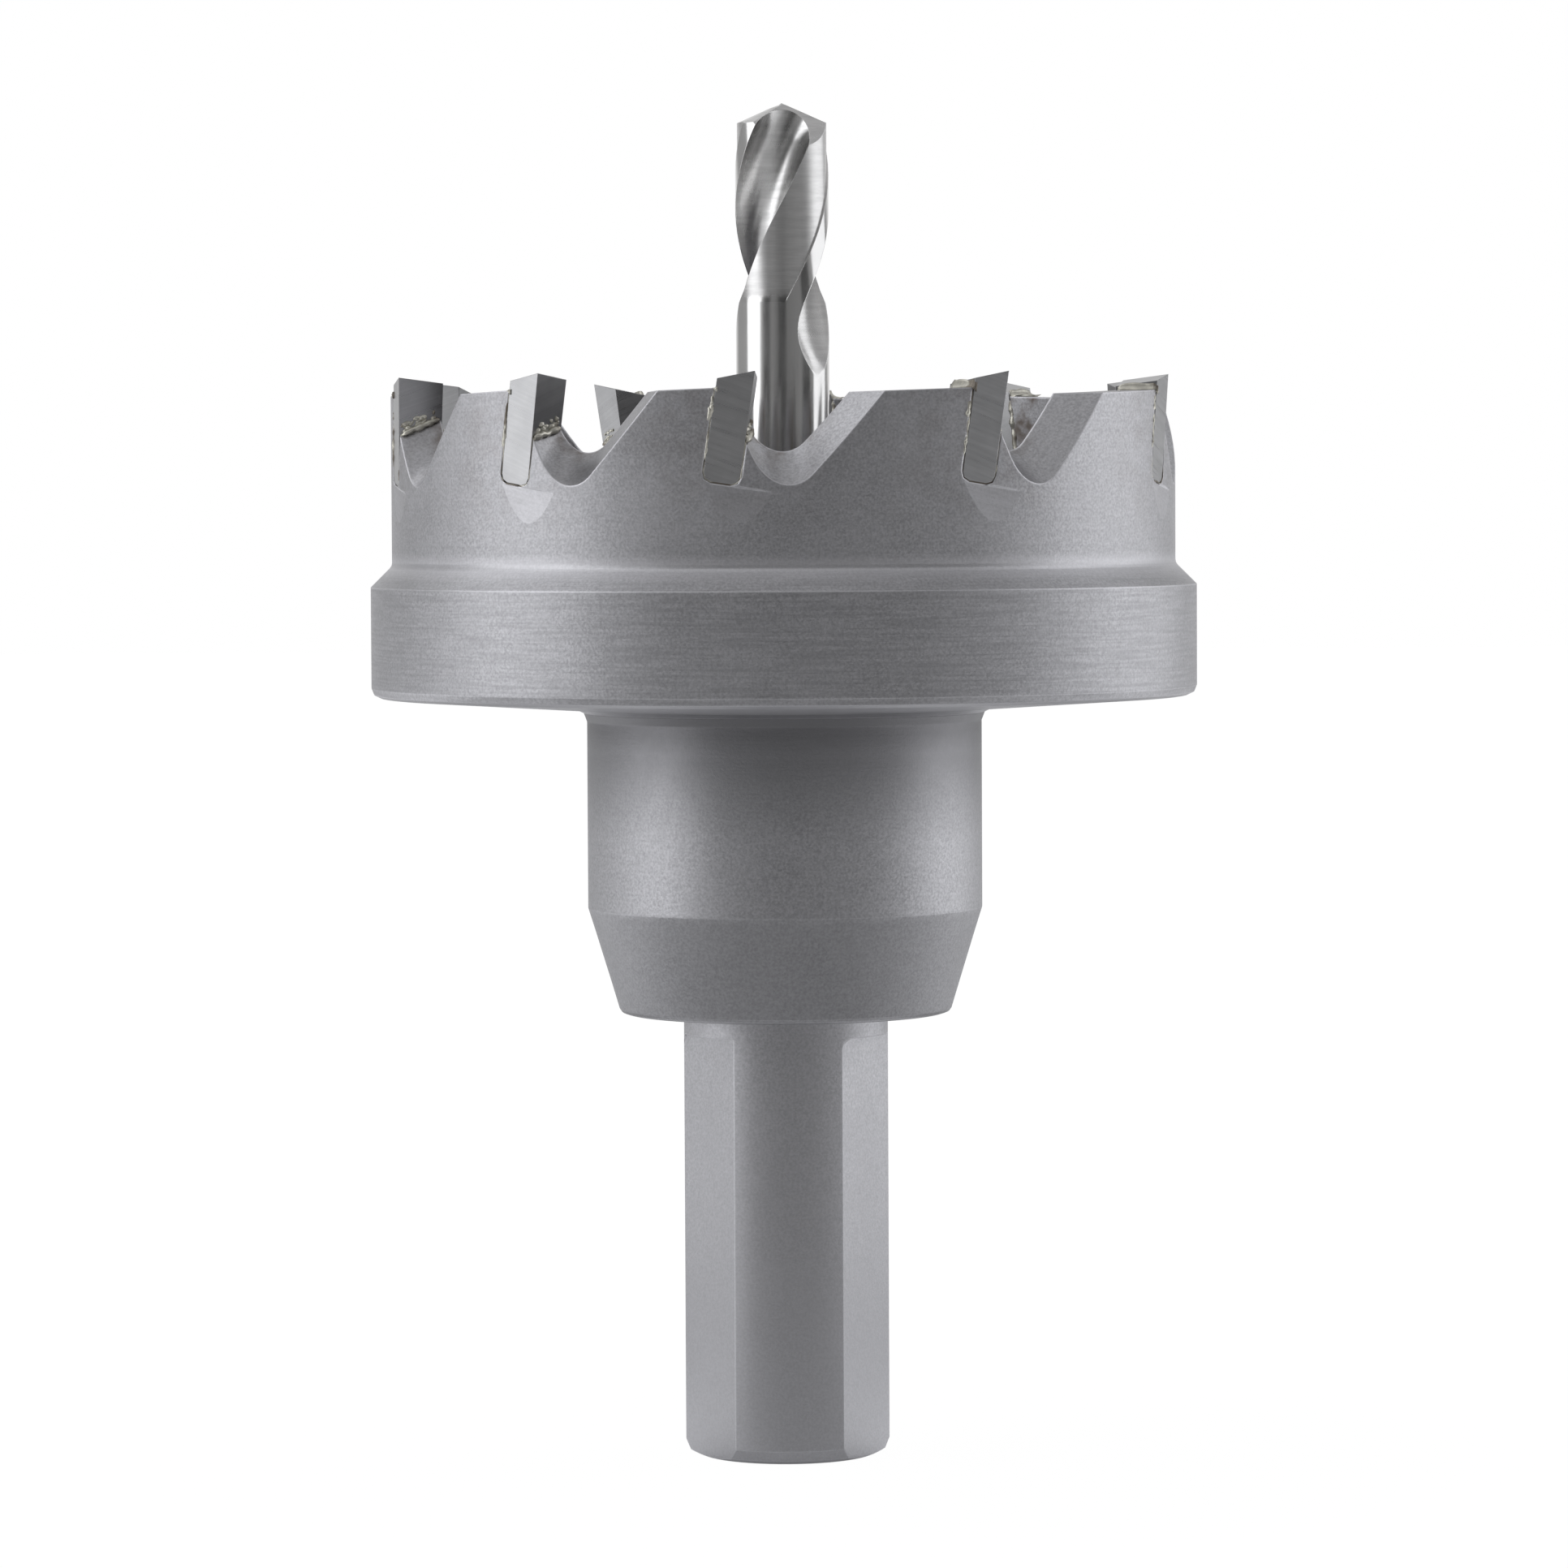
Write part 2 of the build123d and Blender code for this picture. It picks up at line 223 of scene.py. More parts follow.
def near_teeth(tree, angle, tooth_angles, reach, shift):
    """Share that is 1 near a place beside each tooth, and falls to 0 at an angle from it."""
    total = None
    for tooth in tooth_angles:
        gap = calc(tree, "SUBTRACT", angle, tooth + shift)
        gap = calc(tree, "ARCCOSINE", calc(tree, "COSINE", gap))
        share = remap(tree, gap, 0.4 * reach, reach, 1.0, 0.0)
        total = share if total is None else calc(tree, "MAXIMUM", total, share)
    return total


def body_steel(tooth_angles):
    """Blasted steel over fine turning lines, with soft dark blotches, heat stains by the teeth, and painted
    shade and painted light in places.
    """
    material, tree, shader, place = metal("body_steel_blasted")
    angle, radius, height = around(tree, place)
    geometry = node(tree, "ShaderNodeNewGeometry")
    steel = (0.415, 0.413, 0.43)

    # Turning lines run round the axis, strongest on the collar and the top of the hub
    across = calc(tree, "SUBTRACT", height, radius)
    lines = fine_lines(tree, product(tree, angle, 0.0009), across, TURNING_LINES, 1.0)
    collar = remap(tree, apart(tree, height, COLLAR_MIDDLE), 4.5 * MM, 8 * MM, 1.0, 0.3)

    blast = speckle(tree, place, BLAST_GRAIN, 2.0, 0.65)
    mottle = speckle(tree, place, MOTTLE, 3.0, 0.6)
    blotch = remap(tree, speckle(tree, place, BLOTCHES, 3.0, 0.55), 0.42, 0.68, 0.0, 1.0)
    cloud = speckle(tree, place, CLOUDS, 2.0)

    colour = mixed(tree, blotch, steel, shade(steel, 0.84))
    colour = mixed(tree, remap(tree, cloud, 0.35, 0.65, 0.0, 0.3), colour, shade(steel, 0.8))
    colour = mixed(tree, remap(tree, mottle, 0.3, 0.7, 0.0, 0.6), colour, shade(steel, 0.78))
    colour = mixed(tree, remap(tree, blast, 0.35, 0.65, 0.0, 0.8), colour, shade(steel, 1.27))
    lined = product(tree, remap(tree, lines, 0.35, 0.6, 0.42, 0.0), collar)
    colour = mixed(tree, lined, colour, shade(steel, 0.72))

    # Painted shade: inside HUB_REACH the top of the hub, in the collar's shade, is painted darker, and the
    # corner under the collar darker still, both held at full above the hub's top
    inside = calc(tree, "LESS_THAN", radius, HUB_REACH)
    under = product(tree, remap(tree, height, HUB_TOP - 6.7 * MM, HUB_TOP - 1.7 * MM, 0.0, 0.9), inside)
    colour = mixed(tree, under, colour, shade(steel, 0.6))
    corner = product(tree, remap(tree, height, HUB_TOP - 1.2 * MM, HUB_TOP, 0.0, 1.0), inside)
    colour = mixed(tree, product(tree, corner, 0.7), colour, shade(steel, 0.45))

    # Heat stains on the inner wall by each tooth
    near = near_teeth(tree, angle, tooth_angles, reach=0.3, shift=-0.08)
    inner = remap(tree, radius, CUP_INNER_RADIUS + 0.2 * MM, CUP_INNER_RADIUS + 0.9 * MM, 1.0, 0.18)
    upper = remap(tree, height, RIM - 9 * MM, RIM - 5 * MM, 0.0, 1.0)
    stain = remap(tree, speckle(tree, place, HEAT_STAINS, 3.0, 0.6), 0.42, 0.6, 0.0, 1.0)
    colour = mixed(tree, product(tree, near, inner, upper, stain), colour, (0.19, 0.165, 0.15))

    # Painted light: the downward faces of the collar are painted brighter, and the fillet at the cup's foot
    # gets a painted highlight
    normal_z = node(tree, "ShaderNodeSeparateXYZ", {0: geometry.outputs["True Normal"]}).outputs[2]
    facing_down = calc(tree, "LESS_THAN", normal_z, -0.8)
    painted_underside_light = product(tree, facing_down, calc(tree, "GREATER_THAN", height, HUB_TOP - 6.2 * MM))
    colour = mixed(tree, painted_underside_light, colour, shade(steel, 1.3))
    foot = remap(tree, apart(tree, height, CUP_FOOT), 0.2 * MM, 0.9 * MM, 1.0, 0.0)
    colour = mixed(tree, product(tree, foot, 0.5), colour, shade(steel, 1.6))

    # The shank is painted a little brighter than the rest, most towards its end, partly for its ground
    # finish and partly as painted light, and the taper above it is painted a little darker, a painted shade
    shank = remap(tree, height, 8 * MM, 28 * MM, 0.55, 0.15)
    shank = product(tree, shank, calc(tree, "LESS_THAN", height, SHANK_TOP))
    colour = mixed(tree, shank, colour, shade(steel, 1.35))
    taper = remap(tree, height, TAPER_TOP - 0.3 * MM, TAPER_TOP + 0.3 * MM, 0.3, 0.0)
    taper = product(tree, calc(tree, "GREATER_THAN", height, SHANK_TOP), taper)
    colour = mixed(tree, taper, colour, shade(steel, 0.6))

    # Ground crescents under the tips, which their slight tilt tells from the wall
    tilted = calc(tree, "LESS_THAN", apart(tree, normal_z, 0.04), 0.022)
    outer = calc(tree, "GREATER_THAN", radius, CUP_RADIUS - 0.4 * MM)
    toothed = calc(tree, "GREATER_THAN", height, RIM - 9.5 * MM)
    arc = product(tree, angle, CUP_RADIUS)
    swept = calc(tree, "ADD", height, product(tree, arc, 0.25))
    brushed = fine_lines(tree, product(tree, arc, 0.05), swept, BRUSH_LINES, 3.0, 0.7)
    brushed = remap(tree, brushed, 0.3, 0.7, 0.3, 0.8)
    uneven = remap(tree, speckle(tree, place, BRUSH_PATCHES, 1.0), 0.4, 0.6, 0.5, 1.0)
    ground = product(tree, tilted, outer, toothed, product(tree, brushed, uneven))
    colour = mixed(tree, ground, colour, shade(steel, 1.35))

    # Each edge is painted a little brighter, partly wear and partly a painted highlight, but not at the top
    # of the hub and the cup's foot
    edge = worn_edge(tree, 0.16 * MM)
    inputs = {0: edge, 1: geometry.outputs["Normal"]}
    facing = node(tree, "ShaderNodeVectorMath", inputs, operation="DOT_PRODUCT").outputs["Value"]
    elsewhere = calc(tree, "SUBTRACT", 1.0, calc(tree, "MAXIMUM", corner, foot))
    edge_wear_and_highlight = product(tree, remap(tree, facing, 0.992, 0.95, 0.0, 0.9), elsewhere)
    colour = mixed(tree, edge_wear_and_highlight, colour, shade(steel, 1.8))

    rough = calc(tree, "ADD", remap(tree, blotch, 0.0, 1.0, 0.42, 0.37), product(tree, mottle, 0.08))
    grain = bump(tree, blast, 0.016 * MM, 0.6, edge)
    turned = bump(tree, lines, 0.014 * MM, product(tree, collar, 0.45), grain)
    link_look(tree, shader, colour, rough, turned)
    return material


def carbide():
    """Ground carbide, darker and smoother, with fine slanted grinding lines."""
    material, tree, shader, place = metal("carbide_ground")
    angle, radius, height = around(tree, place)
    grey = (0.36, 0.36, 0.365)
    arc = product(tree, angle, CUP_RADIUS)
    slanted = calc(tree, "ADD", height, product(tree, calc(tree, "ADD", arc, radius), 0.35))
    lines = fine_lines(tree, product(tree, arc, 0.05), slanted, GRINDING_LINES, 3.0, 0.7)
    cloud = speckle(tree, place, TIP_CLOUDS, 2.0)
    colour = mixed(tree, remap(tree, lines, 0.3, 0.7, 0.0, 0.8), grey, shade(grey, 1.3))
    colour = mixed(tree, remap(tree, cloud, 0.35, 0.7, 0.0, 0.4), colour, shade(grey, 0.86))

    # The lower part of the rake faces is darker, in brownish patches
    lower_darkening = remap(tree, height, RIM - 4.2 * MM, RIM - 2.2 * MM, 0.65, 0.0)
    dark_patches = remap(tree, speckle(tree, place, TIP_DARK_PATCHES, 3.0, 0.6), 0.4, 0.62, 0.0, 1.0)
    within = calc(tree, "LESS_THAN", radius, CUP_RADIUS - 0.1 * MM)
    colour = mixed(tree, product(tree, lower_darkening, dark_patches, within), colour, (0.16, 0.145, 0.125))

    rough = remap(tree, lines, 0.3, 0.7, 0.26, 0.34)
    link_look(tree, shader, colour, rough, bump(tree, lines, 0.0025 * MM, 0.5, worn_edge(tree, 0.05 * MM)))
    return material


def braze():
    """Silvery, slightly yellow filler metal, in places stained brown, most of all on the outer wall."""
    material, tree, shader, place = metal("braze_silver")
    shader.inputs["Metallic"].default_value = 0.75
    _, radius, height = around(tree, place)
    silver = (0.72, 0.70, 0.62)
    lumps = speckle(tree, place, BRAZE_LUMPS, 2.0, 0.55)
    stain = speckle(tree, place, BRAZE_STAINS, 3.0, 0.65)
    colour = mixed(tree, remap(tree, lumps, 0.35, 0.65, 0.0, 1.0), silver, shade(silver, 0.72))

    # It is browner on the outer wall, and most so round the foot of each tip
    outer = calc(tree, "GREATER_THAN", radius, CUP_RADIUS - 0.16 * MM)
    low = product(tree, remap(tree, height, RIM - 5.2 * MM, RIM - 6.2 * MM, 0.0, 0.14), outer)
    browned = calc(tree, "ADD", stain, calc(tree, "ADD", low, product(tree, outer, 0.045)))
    brown = mixed(tree, outer, (0.24, 0.21, 0.175), (0.17, 0.145, 0.12))
    colour = mixed(tree, remap(tree, browned, 0.53, 0.61, 0.0, 0.9), colour, brown)

    rough = remap(tree, stain, 0.45, 0.6, 0.3, 0.55)
    link_look(tree, shader, colour, rough, bump(tree, lumps, 0.04 * MM, 0.6))
    return material


def drill_steel():
    """Polished steel, with satin flutes and matte cleared lands."""
    material, tree, shader, place = metal("drill_polished")
    _, radius, _ = around(tree, place)
    bright = (0.76, 0.755, 0.75)
    flute = remap(tree, radius, DRILL_RADIUS - 0.4 * MM, DRILL_RADIUS - 0.2 * MM, 1.0, 0.0)
    plain = calc(tree, "SUBTRACT", 1.0, flute)
    cleared = remap(tree, radius, DRILL_RADIUS - 0.08 * MM, DRILL_RADIUS - 0.03 * MM, 1.0, 0.0)

    # Streaks run along the drill and turning marks round it
    streaks = speckle(tree, place, DRILL_STREAKS, 3.0, 0.7, (1, 1, 0.05))
    marks = speckle(tree, place, DRILL_MARKS, 3.0, 0.7, (0.12, 0.12, 1))
    cloud = speckle(tree, place, DRILL_CLOUDS, 3.0, 0.6, (1, 1, 0.6))
    clouded = remap(tree, cloud, 0.35, 0.7, 0.0, 0.5)
    clouded = product(tree, clouded, remap(tree, plain, 0.0, 1.0, 0.3, 1.0))
    colour = mixed(tree, clouded, bright, shade(bright, 0.8))
    dull = product(tree, cleared, remap(tree, marks, 0.35, 0.65, 0.2, 0.8))
    colour = mixed(tree, dull, colour, shade(bright, 0.74))

    rough = calc(tree, "ADD", remap(tree, cloud, 0.3, 0.7, 0.10, 0.16), product(tree, streaks, 0.05))
    rough = calc(tree, "ADD", rough, product(tree, cleared, 0.17))
    rough = calc(tree, "SUBTRACT", rough, product(tree, flute, 0.06))
    fine = bump(tree, streaks, 0.002 * MM, product(tree, plain, 0.4), worn_edge(tree, 0.05 * MM))
    link_look(tree, shader, colour, rough, bump(tree, marks, 0.006 * MM, product(tree, cleared, 0.5), fine))
    return material


def screw_steel():
    """Blackened steel."""
    material, tree, shader, place = metal("screw_blackened")
    black = (0.075, 0.075, 0.08)
    cloud = speckle(tree, place, SCREW_CLOUDS, 3.0, 0.6)
    colour = mixed(tree, cloud, black, shade(black, 1.6))
    rough = remap(tree, cloud, 0.3, 0.7, 0.32, 0.5)
    link_look(tree, shader, colour, rough, bump(tree, cloud, 0.01 * MM, 0.5))
    return material


def dress(name, material):
    """Gives a CAD node its finish."""
    nodes[name].data.materials.clear()
    nodes[name].data.materials.append(material)


class Tooth:
    """A tip's leading corner and directions, which places on the tip are given in."""

    def __init__(self, tip_name, seam_name):
        tip = nodes[tip_name]
        self.corner = max((tip.matrix_world @ v.co for v in tip.data.vertices), key=lambda p: p.z)
        self.angle = math.atan2(self.corner.x, -self.corner.y)
        self.out = Vector((math.sin(self.angle), -math.cos(self.angle), 0))
        level = Vector((math.cos(self.angle), math.sin(self.angle), 0))
        upright = Vector((0, 0, 1))
        self.ahead = level * math.cos(TIP_LEAN) - upright * math.sin(TIP_LEAN)
        self.up = upright * math.cos(TIP_LEAN) + level * math.sin(TIP_LEAN)
        seam = nodes[seam_name]
        places = [self.local(seam.matrix_world @ v.co) for v in seam.data.vertices]

        # The seam's top edge in front of the tip tells how high the gullet's foot is on each wall
        front = [p for p in places if abs(p.x) < SEAM_FRONT]
        self.foot_outer = max((p for p in front if p.z > -TIP_DEPTH / 2), key=lambda p: p.y).y
        self.foot_inner = max((p for p in front if p.z < -TIP_DEPTH / 2), key=lambda p: p.y).y

    def local(self, point):
        """Place ahead of, above and outside the leading corner."""
        gap = point - self.corner
        return Vector((gap.dot(self.ahead), gap.dot(self.up), gap.dot(self.out)))

    def world(self, x, y, z):
        """Point at a place given from the leading corner."""
        return self.corner + self.ahead * x + self.up * y + self.out * z

    def on_wall(self, x, y, radius):
        """Point of a wall beside the tip, at a distance from the saw's axis."""
        across = x * math.cos(TIP_LEAN) + y * math.sin(TIP_LEAN)
        reach = math.sqrt(radius ** 2 - across ** 2)
        return self.world(x, y, reach - self.corner.to_2d().length)


def add_strip(shape, rings):
    """Skin over a row of rings of points, closed at both ends."""
    count = len(rings[0])
    verts = [[shape.verts.new(p) for p in ring] for ring in rings]
    for first, second in zip(verts, verts[1:]):
        for i in range(count):
            j = (i + 1) % count
            shape.faces.new((first[i], first[j], second[j], second[i]))
    shape.faces.new(list(reversed(verts[0])))
    shape.faces.new(verts[-1])


def random_place(rng):
    """Place in the noise for one bead or fillet, so that no two are alike."""
    return Vector((rng.uniform(0, 50), rng.uniform(0, 50), rng.uniform(0, 50)))


def add_bead(shape, path, radius, rough, rng, sides=9):
    """Lumpy bead of metal along a path. Rough is the share by which it swells and thins."""
    lump_size = 0.45 * MM
    grain_size = 0.18 * MM
    seed = random_place(rng)
    last = len(path) - 1
    rings = []
    for i, point in enumerate(path):
        along = (path[min(i + 1, last)] - path[max(i - 1, 0)]).normalized()
        side = along.orthogonal().normalized()
        other = along.cross(side)
        taper = min(1.0, 0.25 + 0.35 * min(i, last - i))
        ring = []
        for k in range(sides):
            turn = 2 * math.pi * k / sides
            ray = side * math.cos(turn) + other * math.sin(turn)
            lump = noise.noise(point / lump_size + ray * 0.6 + seed)
            grain = noise.noise(point / grain_size + ray * 1.4 + seed)
            reach = radius * taper * max(0.15, 1 + rough * (1.5 * lump + 0.6 * grain))
            ring.append(point + ray * reach)
        rings.append(ring)
    add_strip(shape, rings)


def between(start, end, count):
    """Evenly spaced points from start to end."""
    return [start.lerp(end, i / (count - 1)) for i in range(count)]


def add_fillet(shape, tooth, length, rise, rng):
    """Braze that curves from the land behind a tip up its back face."""
    steps = 18
    arc_steps = 6
    sunk = 0.15 * MM
    seed = random_place(rng)
    back = -TIP_WIDTH - 0.02 * MM
    rings = []
    for i in range(steps + 1):
        z = -TIP_DEPTH * (0.05 + 0.9 * i / steps)
        level = (RIM - tooth.world(back, 0, z).z) / math.cos(TIP_LEAN)
        wobble = 1 + 0.2 * noise.noise(Vector((i * 0.2, 0, 0)) + seed)
        taper = min(1.0, 0.5 + 0.25 * min(i, steps - i))
        reach = length * wobble * taper
        climb = rise * (2 - wobble) * taper
        ring = [tooth.world(back + sunk, level - 0.25 * MM, z)]
        for k in range(arc_steps + 1):
            turn = math.pi / 2 * k / arc_steps
            x = back - reach * (1 - math.sin(turn))
            y = level + climb * (1 - math.cos(turn))
            lump = 0.015 * MM * noise.noise(Vector((x, y, z)) / (0.5 * MM) + seed)
            ring.append(tooth.world(x, y + lump - 0.02 * MM, z))
        ring.append(tooth.world(back + sunk, level + climb, z))
        rings.append(ring)
    add_strip(shape, rings)


# Length and rise in mm of the fillet behind each tip
BACK_FILLETS = (
    (0.9, 0.5), (0.7, 0.4), (0.5, 0.3), (0.25, 0.15), (0.2, 0.12),
    (0.2, 0.5), (0.22, 0.45), (0.6, 0.4), (0.9, 0.5), (0.8, 0.5),
)


def foot_braze(shape, tooth, rng):
    """A bead at the foot of the rake face, with lumps on it. Those at the saw's back are thinner."""
    size = 1.0 if abs(tooth.angle) < math.radians(100) else 0.6
    outer = tooth.world(0.12 * MM, tooth.foot_outer + 0.03 * MM, -0.25 * MM)
    inner = tooth.world(0.12 * MM, tooth.foot_inner + 0.03 * MM, -TIP_DEPTH + 0.2 * MM)
    along = (inner - outer).normalized()
    add_bead(shape, between(outer, inner, 26), size * 0.2 * MM, 0.5, rng)
    for _ in range(FOOT_LUMPS):
        middle = outer.lerp(inner, rng.uniform(0.06, 0.94)) + tooth.up * rng.uniform(-0.15, 0.65) * MM
        middle -= tooth.ahead * 0.13 * MM
        half = along * rng.uniform(0.08, 0.3) * MM
        half += tooth.up * rng.uniform(-0.12, 0.12) * MM
        radius = size * rng.uniform(0.12, 0.19) * MM
        add_bead(shape, between(middle - half, middle + half, 7), radius, 0.35, rng, 7)


def joint_braze(shape, i, tooth, rng):
    """Beads along the joint: right round it on the outer wall, and down the back on the inner one."""
    gap = 0.06 * MM
    low = -TIP_LENGTH - gap
    back = -TIP_WIDTH - gap
    round_off = 0.4 * MM
    down = between(Vector((back, -1.5 * MM, 0)), Vector((back, low + round_off, 0)), 44)
    under = between(Vector((back + round_off, low, 0)), Vector((gap - round_off, low, 0)), 16)
    rise = between(Vector((gap, low + round_off, 0)), Vector((gap, low + 1.3 * MM, 0)), 10)

    # A thin line down the back, under the bottom and up to the gullet, which comes and goes
    run = []
    for p in down + under + rise:
        wander = noise.noise(Vector((p.x, p.y, 0)) / (0.5 * MM) + Vector((i * 7.0, 0, 0)))
        shift = 0.05 * MM * wander
        run.append(tooth.on_wall(p.x + shift, p.y + shift, CUP_RADIUS - 0.04 * MM))
    cuts = [0] + sorted(rng.sample(range(6, len(run) - 6), 4)) + [len(run)]
    for first, last in zip(cuts[::2], cuts[1::2]):
        if last - first > 3:
            add_bead(shape, run[first:last], rng.uniform(0.04, 0.06) * MM, 0.6, rng, 7)

    # One even bead down the back on the inner wall
    inner_run = [tooth.on_wall(p.x, p.y, CUP_INNER_RADIUS + 0.17 * MM) for p in down]
    add_bead(shape, inner_run, 0.24 * MM, 0.3, rng)

    # Thicker beads down the back on the outer wall
    for _ in range(BACK_BEADS):
        start = rng.uniform(-5.0, -1.6) * MM
        end = start - rng.uniform(0.5, 2.0) * MM
        offset = back - rng.uniform(-0.02, 0.16) * MM
        heights = [start + (end - start) * k / 11 for k in range(12)]
        path = [tooth.on_wall(offset, y, CUP_RADIUS - 0.05 * MM) for y in heights]
        add_bead(shape, path, rng.uniform(0.08, 0.13) * MM, 0.6, rng, 7)


def make_braze(i, tooth, finish):
    """Braze that ran out round a tip: at the rake's foot, behind the tip and along its joint."""
    rng = random.Random(BRAZE_SEED + i)
    shape = bmesh.new()
    foot_braze(shape, tooth, rng)
    length, rise = BACK_FILLETS[i]
    add_fillet(shape, tooth, length * MM, rise * MM, rng)
    joint_braze(shape, i, tooth, rng)

    bmesh.ops.recalc_face_normals(shape, faces=shape.faces)
    name = f"braze_run_{i + 1}"
    mesh = bpy.data.meshes.new(name)
    shape.to_mesh(mesh)
    shape.free()
    mesh.shade_smooth()
    run_out = bpy.data.objects.new(name, mesh)
    bpy.context.scene.collection.objects.link(run_out)
    mesh.materials.append(finish)
    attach(run_out, "root")


def make_camera():
    """The photograph's view: a long lens just above the teeth, tilted down and rolled a little."""
    data = bpy.data.cameras.new("camera")
    data.sensor_width = SENSOR_MM
    data.lens = SENSOR_MM * FOCAL_PIXELS / IMAGE_SIZE
    data.clip_start = 0.01
    camera = bpy.data.objects.new("camera", data)
    bpy.context.scene.collection.objects.link(camera)
    forward = Vector((0, math.cos(CAMERA_TILT), -math.sin(CAMERA_TILT)))
    level_up = Vector((0, math.sin(CAMERA_TILT), math.cos(CAMERA_TILT)))
    level_right = Vector((1, 0, 0))
    right = level_right * math.cos(CAMERA_ROLL) - level_up * math.sin(CAMERA_ROLL)
    up = level_right * math.sin(CAMERA_ROLL) + level_up * math.cos(CAMERA_ROLL)
    turned = Matrix((right, up, -forward)).transposed().to_4x4()
    camera.matrix_world = Matrix.Translation(CAMERA_PLACE) @ turned
    bpy.context.scene.camera = camera


COOL_WHITE = (0.97, 0.98, 1.0)

# Softboxes by azimuth in degrees from the front, to the right: distance, height, size and level
SOFTBOXES = {
    "softbox_left": (-77, 0.55, 0.26, (0.44, 0.6), 1.3),
    "softbox_right": (106, 0.55, 0.2, (0.56, 0.7), 0.98),
    "softbox_high": (-125, 0.4, 0.55, (0.35, 0.35), 0.9),
}

# Height on the tool that the softboxes face
LAMP_AIM = 55 * MM


def make_softbox(name, azimuth, distance, height, size, level):
    """Area lamp that stands round the tool and faces it."""
    data = bpy.data.lights.new(name, "AREA")
    data.shape = "RECTANGLE"
    data.size, data.size_y = size
    data.energy = level * math.pi * size[0] * size[1]
    data.color = COOL_WHITE
    lamp = bpy.data.objects.new(name, data)
    bpy.context.scene.collection.objects.link(lamp)
    turn = math.radians(azimuth)
    lamp.location = Vector((distance * math.sin(turn), -distance * math.cos(turn), height))
    aim = Vector((0, 0, LAMP_AIM)) - lamp.location
    lamp.rotation_euler = aim.to_track_quat("-Z", "Y").to_euler()


# Brightness of the studio by azimuth in degrees from the front, to the right
STUDIO_LEVELS = (
    (-180, 0.45), (-150, 0.36), (-125, 0.33), (-105, 0.33), (-55, 0.48), (-46, 0.08),
    (-34, 0.08), (-28, 0.24), (-13, 0.16), (-8, 0.05), (8, 0.05), (13, 0.16),
    (46, 0.2), (52, 0.06), (66, 0.06), (72, 0.26), (140, 0.27), (180, 0.45),
)


def make_world():
    """Studio round the tool: dim towards the front, pale at the sides and white behind."""
    world = bpy.data.worlds.new("studio")
    bpy.context.scene.world = world
    world.use_nodes = True
    tree = world.node_tree
    tree.nodes.clear()
    direction = node(tree, "ShaderNodeTexCoord").outputs["Generated"]
    x, y, z = node(tree, "ShaderNodeSeparateXYZ", {0: direction}).outputs
    share = remap(tree, azimuth_of(tree, x, y), -math.pi, math.pi, 0.0, 1.0)
    ramp = node(tree, "ShaderNodeValToRGB", {"Fac": share})
    elements = ramp.color_ramp.elements
    elements[0].position, elements[1].position = 0, 1
    for degrees, _ in STUDIO_LEVELS[1:-1]:
        elements.new(degrees / 360 + 0.5)
    for element, (_, level) in zip(elements, STUDIO_LEVELS):
        element.color = (level, level, level, 1)

    # A paler ceiling, dimmer to the right, and a plain grey below
    above = remap(tree, z, 0.35, 0.85, 0.0, 1.0)
    below = remap(tree, z, 0.0, -0.35, 0.0, 1.0)
    to_right = remap(tree, x, 0.1, 0.5, 0.0, 1.0)
    ceiling = mixed(tree, to_right, (0.62, 0.62, 0.625), (0.42, 0.42, 0.425))
    room = mixed(tree, above, ramp.outputs["Color"], ceiling)
    room = mixed(tree, below, room, (0.30, 0.30, 0.30))

    # The camera sees white, and reflections of what is straight behind the tool are nearly white
    path = node(tree, "ShaderNodeLightPath")
    behind = remap(tree, y, 0.75, 0.95, 0.0, 1.0)
    glossy = product(tree, path.outputs["Is Glossy Ray"], behind, 0.75)
    seen = calc(tree, "MAXIMUM", path.outputs["Is Camera Ray"], path.outputs["Is Transmission Ray"])
    shown = calc(tree, "MAXIMUM", seen, glossy)
    background = node(tree, "ShaderNodeBackground", {"Color": mixed(tree, shown, room, (1, 1, 1))})
    output = node(tree, "ShaderNodeOutputWorld")
    tree.links.new(background.outputs[0], output.inputs["Surface"])


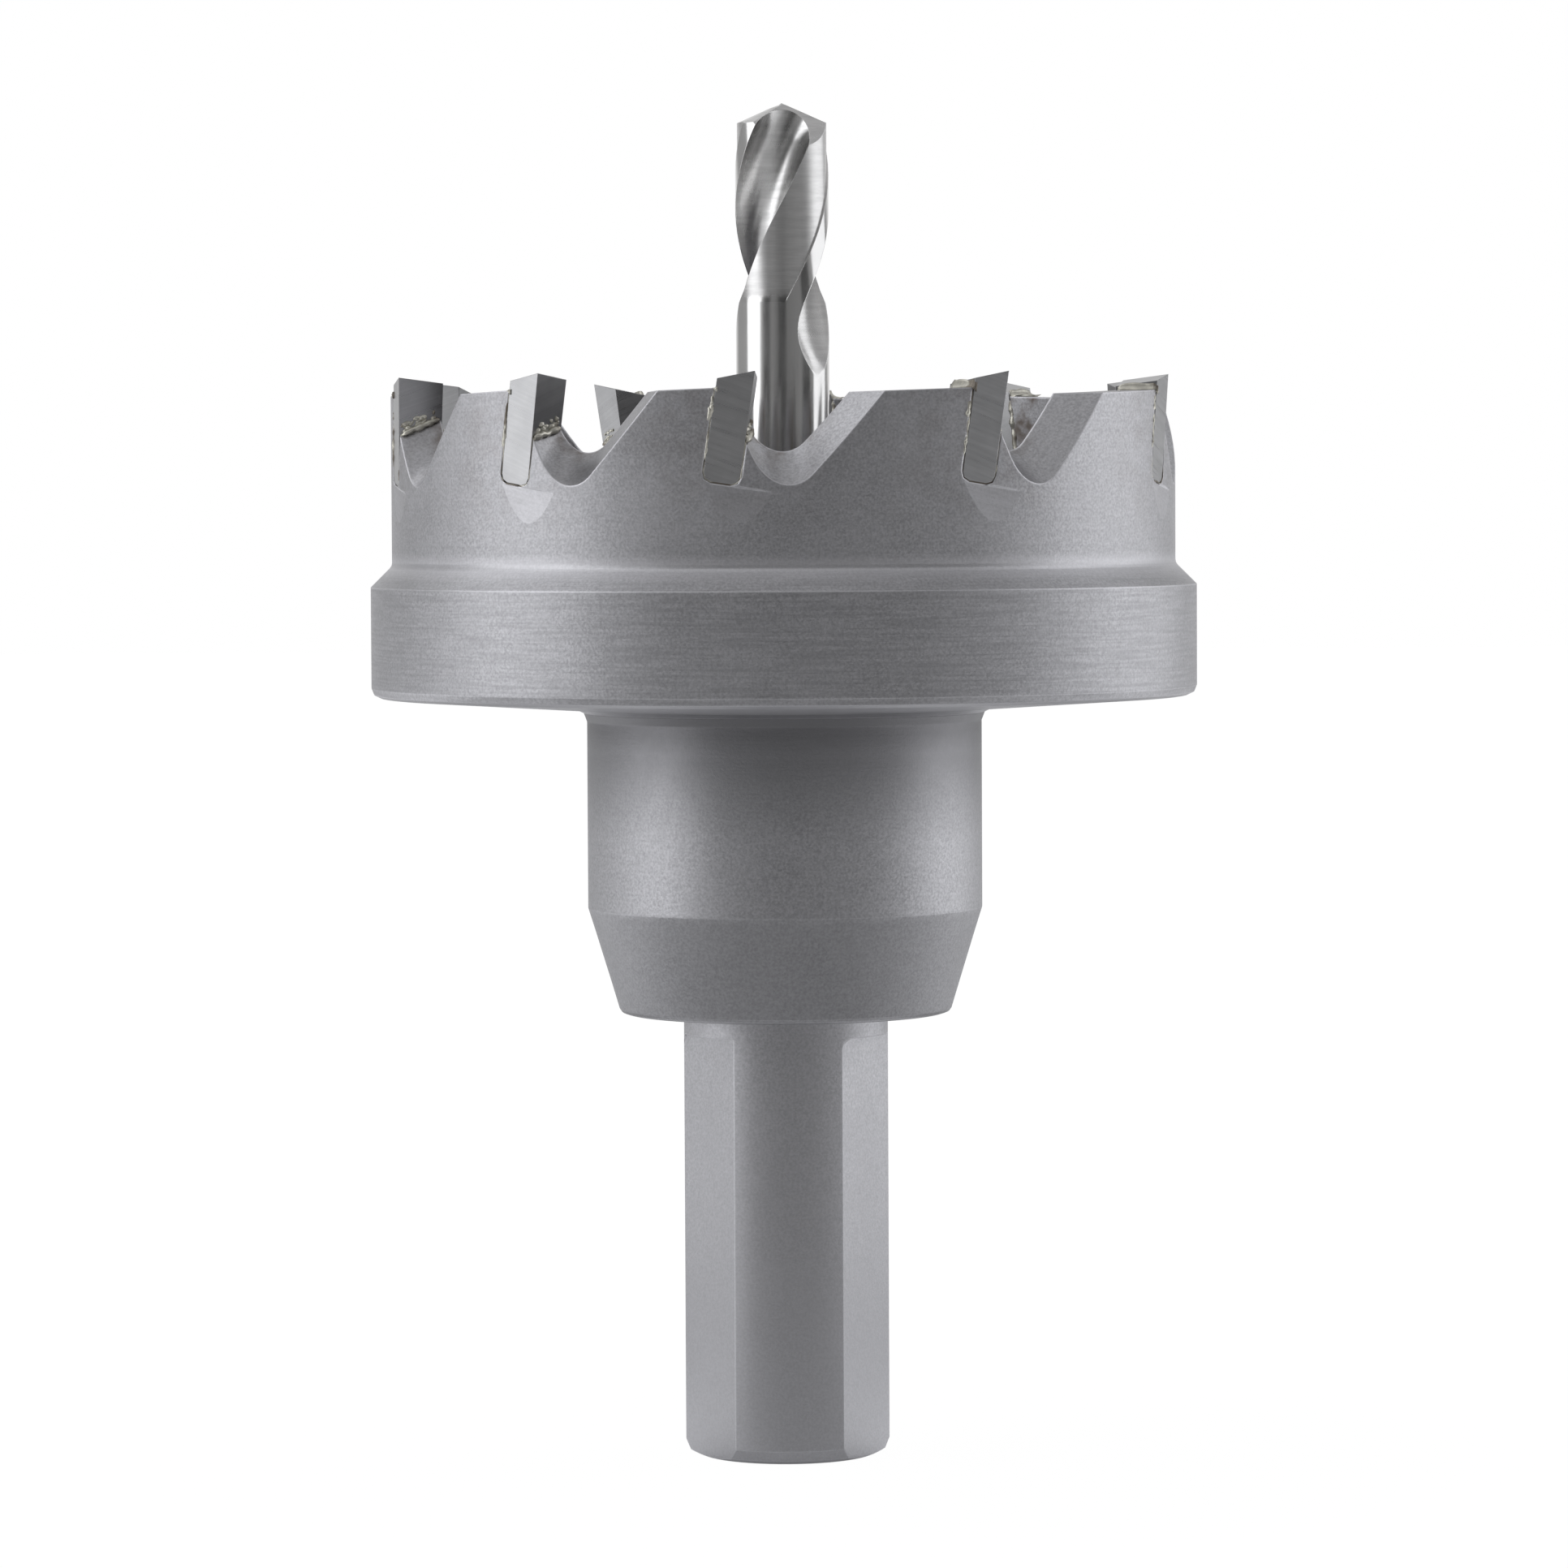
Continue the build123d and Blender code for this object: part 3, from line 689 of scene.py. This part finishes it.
def make_floor():
    """White floor that keeps a faint shadow of the tool, with paint darker near it as a painted shadow and
    a painted glow that the camera does not see.
    """
    bpy.ops.mesh.primitive_plane_add(size=4.0, location=(0, 0, cad_box[0][2] - 0.02 * MM))
    floor = bpy.context.object
    floor.name = "floor"
    material = bpy.data.materials.new("floor_white")
    material.use_nodes = True
    tree = material.node_tree
    tree.nodes.clear()
    place = node(tree, "ShaderNodeTexCoord").outputs["Object"]
    azimuth, distance, _ = around(tree, place)
    seen = node(tree, "ShaderNodeLightPath").outputs["Is Camera Ray"]
    unseen = calc(tree, "SUBTRACT", 1.0, seen)

    # Painted light: the table glows more at the tool's sides than at its front, as its reflection in the
    # shank shows, and round the shank's foot, for all rays but the camera's; its paint is darker near the
    # tool, a painted shadow
    turn = calc(tree, "ABSOLUTE", azimuth)
    side = remap(tree, turn, math.radians(35), math.radians(100), 0.0, 1.0)
    rear = remap(tree, turn, math.radians(115), math.radians(150), 1.0, 0.2)
    side = product(tree, side, rear)
    near = remap(tree, distance, 40 * MM, 120 * MM, 1.0, 0.0)
    foot = remap(tree, distance, 32 * MM, 46 * MM, 0.95, 0.0)
    foot = product(tree, foot, calc(tree, "MAXIMUM", side, 0.35))
    side = calc(tree, "MAXIMUM", foot, product(tree, side, calc(tree, "SUBTRACT", 1.0, near)))
    painted_table_glow = {"Color": (*COOL_WHITE, 1), "Strength": product(tree, side, unseen, 0.7)}
    paint_with_painted_shadow = {"Color": mixed(tree, near, (0.78, 0.78, 0.78), (0.4, 0.4, 0.4))}
    table = node(tree, "ShaderNodeAddShader", {
        0: node(tree, "ShaderNodeBsdfDiffuse", paint_with_painted_shadow).outputs[0],
        1: node(tree, "ShaderNodeEmission", painted_table_glow).outputs[0],
    })

    # The camera sees it white, with a small share of its cast shadow and its painted shadow left
    white = node(tree, "ShaderNodeEmission", {"Color": (1, 1, 1, 1), "Strength": 1.06})
    share = product(tree, seen, 0.93)
    mix = node(tree, "ShaderNodeMixShader", {0: share, 1: table.outputs[0], 2: white.outputs[0]})
    output = node(tree, "ShaderNodeOutputMaterial")
    tree.links.new(mix.outputs[0], output.inputs["Surface"])
    floor.data.materials.append(material)


teeth = [Tooth(*names) for names in zip(tip_names, seam_names)]

dress("saw_body", body_steel([tooth.angle for tooth in teeth]))
dress("pilot_drill", drill_steel())
dress("set_screw", screw_steel())
tip_finish = carbide()
seam_finish = braze()
for i, tooth in enumerate(teeth):
    dress(tip_names[i], tip_finish)
    dress(seam_names[i], seam_finish)
    make_braze(i, tooth, seam_finish)

make_camera()
make_world()
for name, values in SOFTBOXES.items():
    make_softbox(name, *values)
make_floor()
bpy.context.scene.view_settings.view_transform = "Standard"
